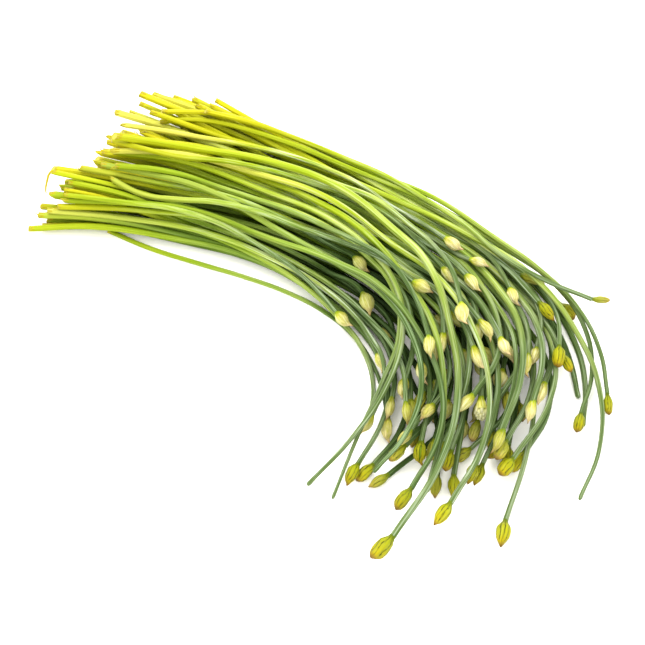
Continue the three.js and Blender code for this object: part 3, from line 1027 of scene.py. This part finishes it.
def sheath_skin():
    material, shader, (growth, plant) = new_skin("bud_sheath", SHEATH_ROUGHNESS)
    share, across, up = parts_of(growth)
    young, tone_and_shade, _ = parts_of(plant)
    young = young.between(*YOUNG_SHOWS)
    wavy = streaks(growth, plant, *SHEATH_WAVES) - 0.5
    angle = share.math("ARCTAN2", up, across) + wavy * GROOVE_WAVE
    ribs = share.math("COSINE", angle * (BUD_SIDES / 2))
    outward = growth.vector_math("MULTIPLY", (0, 1, 1)).vector_math("NORMALIZE")
    drawn_out = growth.node("ShaderNodeCombineXYZ", {"X": share * FOLDS_DRAWN_OUT})
    folds = streaks(outward.vector_math("ADD", drawn_out), plant, *SHEATH_FOLDS)
    fibres = streaks(growth, plant, *SHEATH_FIBRES)
    body = (1 - share.between(*BODY_END)) * share.between(*BODY_FROM)
    veins = 1 - share.math("ABSOLUTE", folds - 0.5).between(*VEIN_EDGE)
    breaks = LEAST_GROOVE + fibres.between(*GROOVE_BREAKS) * (1 - LEAST_GROOVE)
    grooves = ribs.between(*GROOVE_EDGE) * breaks * young
    skin = share.coloured(RIPE_SHEATH).mixed(share.coloured(YOUNG_SHEATH), young)
    skin = skin.mixed(PATCH, wavy.between(*PATCH_EDGE) * body * PATCH_DEPTH)
    skin = skin.mixed(VEIN, veins * body * VEIN_DEPTH)
    skin = skin.mixed(GROOVE, grooves * body)
    # White folds, partly a painted highlight on the raised folds.
    skin = skin.mixed(FOLD_WHITE_AND_HIGHLIGHT, folds.between(*WHITE_EDGE) * (1 - young) * body * WHITE_DEPTH)
    skin = skin.mixed((share - FLORET_MARK).coloured(FLORET_SKIN), share.between(*FLORETS_FROM))
    # Painted shade: a bud deep in the heap is darker and greener.
    skin = skin.shaded(SHEATH_DEEP, 1 - tone_and_shade)
    light = SHEATH_DARKEST + tone_and_shade * SHEATH_LIGHT - young * YOUNG_DARKER
    skin.node("ShaderNodeHueSaturation", {"Color": skin, "Value": light}).feeds(shader, "Base Color")
    height = fibres * FIBRE_RISE + folds * FOLD_RISE - veins * VEIN_SINK - grooves * GROOVE_SINK
    bump = fibres.node("ShaderNodeBump", {"Height": height, **SHEATH_RELIEF}, output="Normal")
    bump.feeds(shader, "Normal")
    return material


def straight_floret():
    """One closed floret along X: a ribbed egg that narrows to its tip."""
    bpy.ops.object.select_all(action="DESELECT")
    bpy.ops.mesh.primitive_uv_sphere_add(
        segments=FLORET_SIDES, ring_count=FLORET_RINGS, radius=FLORET_WIDTH, rotation=(0, pi / 2, 0)
    )
    floret = bpy.context.object
    bpy.ops.object.transform_apply()
    bpy.ops.object.mode_set(mode="EDIT")
    bpy.ops.mesh.select_all(action="SELECT")
    longer = FLORET_LENGTH / 2 / FLORET_WIDTH
    bpy.ops.transform.resize(value=(longer, 1, 1), center_override=(0, 0, 0))
    bpy.ops.transform.translate(value=(FLORET_LENGTH / 2, 0, 0))
    pick(floret, "verts", lambda vert: vert.co.x > FLORET_LENGTH * FLORET_TIP_START)
    bpy.ops.transform.resize(value=(1, FLORET_TIP, FLORET_TIP), center_override=(0, 0, 0))
    pick(floret, "verts", lambda vert: line_of(vert.co, FLORET_SIDES) % 2 == 0)
    bpy.ops.transform.resize(value=(1, FLORET_RIB, FLORET_RIB), center_override=(0, 0, 0))
    bpy.ops.object.mode_set(mode="OBJECT")
    bpy.ops.object.shade_smooth()
    growth = keep_growth(floret, FLORET_LENGTH, FLORET_WIDTH)
    for place in growth.data:
        place.vector[0] += FLORET_MARK
    return floret


def opened_bud():
    """A straight bud whose sheath has torn open and drawn back from its head of florets."""
    bud = straight_bud(*BUD_KINDS[0])
    bpy.ops.object.mode_set(mode="EDIT")

    def past_tear(face):
        x, y, z = face.calc_center_median()
        return x > BUD_BODY * (TORN_RIM + TORN_TEETH * sin(TEETH * np.arctan2(z, y)))

    pick(bud, "faces", past_tear)
    bpy.ops.mesh.delete(type="FACE")
    pick(bud, "verts", lambda vert: vert.co.x > BUD_BODY * (TORN_RIM - TORN_TEETH))
    bpy.ops.transform.resize(value=(1, RIM_FLARE, RIM_FLARE), center_override=(0, 0, 0))
    bpy.ops.object.mode_set(mode="OBJECT")
    bud.data.attributes.remove(bud.data.attributes["growth"])
    wall = bud.modifiers.new("wall", "SOLIDIFY")
    wall.thickness = SHEATH
    bpy.ops.object.modifier_apply(modifier="wall")
    keep_growth(bud, BUD_BODY, BUD_WIDTH)
    floret = straight_floret()
    for number in range(FLORETS):
        lean = acos(1 - (number + 0.5) / FLORETS * (1 - cos(FLORET_SPREAD)))
        turn = number * GOLDEN_ANGLE
        outward = Vector((cos(lean), sin(lean) * cos(turn), sin(lean) * sin(turn)))
        place = Vector((HEAD_MIDDLE, 0, 0)) + outward * HEAD_CORE
        leaning = outward.to_track_quat("X", "Z").to_matrix().to_4x4()
        copy = bpy.data.objects.new("floret", floret.data.copy())
        copy.data.transform(Matrix.Translation(place) @ leaning)
        bpy.context.scene.collection.objects.link(copy)
        copy.select_set(True)
    bpy.data.objects.remove(floret)
    bud.select_set(True)
    bpy.context.view_layer.objects.active = bud
    bpy.ops.object.join()
    return bud


def split_bud():
    """A straight bud whose sheath has split along its upper side, with the florets green inside."""
    bud = straight_bud(*BUD_KINDS[1])
    bpy.ops.object.mode_set(mode="EDIT")

    def in_slit(face):
        x, y, z = face.calc_center_median()
        return SLIT_REACH[0] < x / BUD_BODY < SLIT_REACH[1] and abs(np.arctan2(y, z)) < SLIT_ANGLE

    pick(bud, "faces", in_slit)
    bpy.ops.mesh.inset(thickness=SLIT_LIP)
    bpy.ops.transform.translate(value=(0, 0, -SLIT_DEPTH))
    bpy.ops.object.mode_set(mode="OBJECT")
    for vertex, place in zip(bud.data.vertices, bud.data.attributes["growth"].data):
        if vertex.select:
            place.vector[0] = FLORET_MARK
    return bud


bud_sheath = sheath_skin()
straight_buds = [straight_bud(*kind) for kind in BUD_KINDS]
odd_buds = [opened_bud(), split_bud()]
for name, scapes in units.items():
    buds = []
    for scape in scapes:
        if not scape["bud"]:
            continue
        route = scape["route"][STEM_RINGS - 1:].copy()
        route[0] += unit(scape["route"][STEM_RINGS - 2] - route[0]) * NECK_OVERLAP
        neck = scape["widths"][STEM_RINGS - 1] / (BUD_WIDTH * BUD_NECK) * BUD_NECK_FLARE
        belly = scape["bud"][1] * MM / BUD_WIDTH * chance.uniform(*BELLY_CHANCE)
        sizes = (neck, *(belly * chance.uniform(*DENT_CHANCE, len(BUD_STEPS))))
        start = chance.uniform(0, 2 * pi)
        x, y, _ = route[-1]
        below = (YOUNG_BELOW - y) / YOUNG_BELOW_SPAN
        beside = (x - YOUNG_BESIDE) / YOUNG_BESIDE_SPAN
        outer = np.clip(max(below, beside), 0, 1)
        young = np.clip(outer * YOUNG_OUTSIDE + chance.uniform(-YOUNG_CHANCE, YOUNG_CHANCE), 0, 1)
        plant = (young, *scape["plant"][1:])
        kinds = straight_buds[RIPE_KINDS:] if young > RIBBED_FROM else straight_buds[:RIPE_KINDS]
        straight = kinds[chance.integers(len(kinds))]
        if (name, len(buds)) in ODD_BUDS:
            straight, start = odd_buds[ODD_BUDS.index((name, len(buds)))], 0
        # A bud's painted shade, a share of its stem's.
        cover = scape["cover"][STEM_RINGS - 1:] * BUD_PAINTED_SHADE
        buds.append(laid_along(straight, route, sizes, (start, start), plant, cover))
    if buds:
        joined(buds, name + "_buds", name, bud_sheath)
for straight in (*straight_buds, *odd_buds):
    bpy.data.objects.remove(straight)

# The ground. The bunch lies on a plain white table under a large window that is above it and behind it
# to the left. A weaker lamp stands in front to the right and another one behind, and the camera looks
# down from the near side.
TABLE_SIZE = 6
TABLE_WHITE = 0.92
TABLE_ROUGHNESS = 0.8
CAMERA_LENS = 75
CAMERA_SENSOR = 36
CAMERA_HEIGHT = radians(60)
CAMERA_DISTANCE = 0.806
AIM_HEIGHT = 13

# Each light's name, place and side in metres, and power in watts.
LIGHTS = (
    ("window", (-0.5, 0.55, 1.4), 0.8, 18),
    ("fill", (0.5, -1.0, 1.2), 1.2, 5),
    ("rim", (-0.3, 1.3, 0.7), 0.8, 9),
)
WARM = (1, 0.96, 0.86)
SKY = 2.04
SKY_COLOUR = (1, 0.99, 0.93, 1)

bpy.ops.object.select_all(action="DESELECT")
bpy.ops.mesh.primitive_plane_add(size=TABLE_SIZE)
table = bpy.context.object
table.name = "table"
table_paint = bpy.data.materials.new("table_paint")
table_paint.use_nodes = True
paint = table_paint.node_tree.nodes["Principled BSDF"]
paint.inputs["Base Color"].default_value = (TABLE_WHITE, TABLE_WHITE, TABLE_WHITE, 1)
paint.inputs["Roughness"].default_value = TABLE_ROUGHNESS
table.data.materials.append(table_paint)

aim = (np.array([0, 0, AIM_HEIGHT]) - origin) * MM
stand = aim + np.array([0, -cos(CAMERA_HEIGHT), sin(CAMERA_HEIGHT)]) * CAMERA_DISTANCE
bpy.ops.object.camera_add(location=stand, rotation=(pi / 2 - CAMERA_HEIGHT, 0, 0))
camera = bpy.context.object
camera.data.lens = CAMERA_LENS
camera.data.sensor_width = CAMERA_SENSOR
bpy.context.scene.camera = camera

for name, place, size, energy in LIGHTS:
    bpy.ops.object.light_add(type="AREA", location=place)
    light = bpy.context.object
    light.name = name
    light.data.size = size
    light.data.energy = energy
    light.data.color = WARM
    light.rotation_euler = (-light.location).to_track_quat("-Z", "Y").to_euler()
world = bpy.data.worlds.new("studio")
world.use_nodes = True
sky = world.node_tree.nodes["Background"]
sky.inputs["Color"].default_value = SKY_COLOUR
sky.inputs["Strength"].default_value = SKY
bpy.context.scene.world = world
bpy.context.scene.view_settings.view_transform = "Standard"
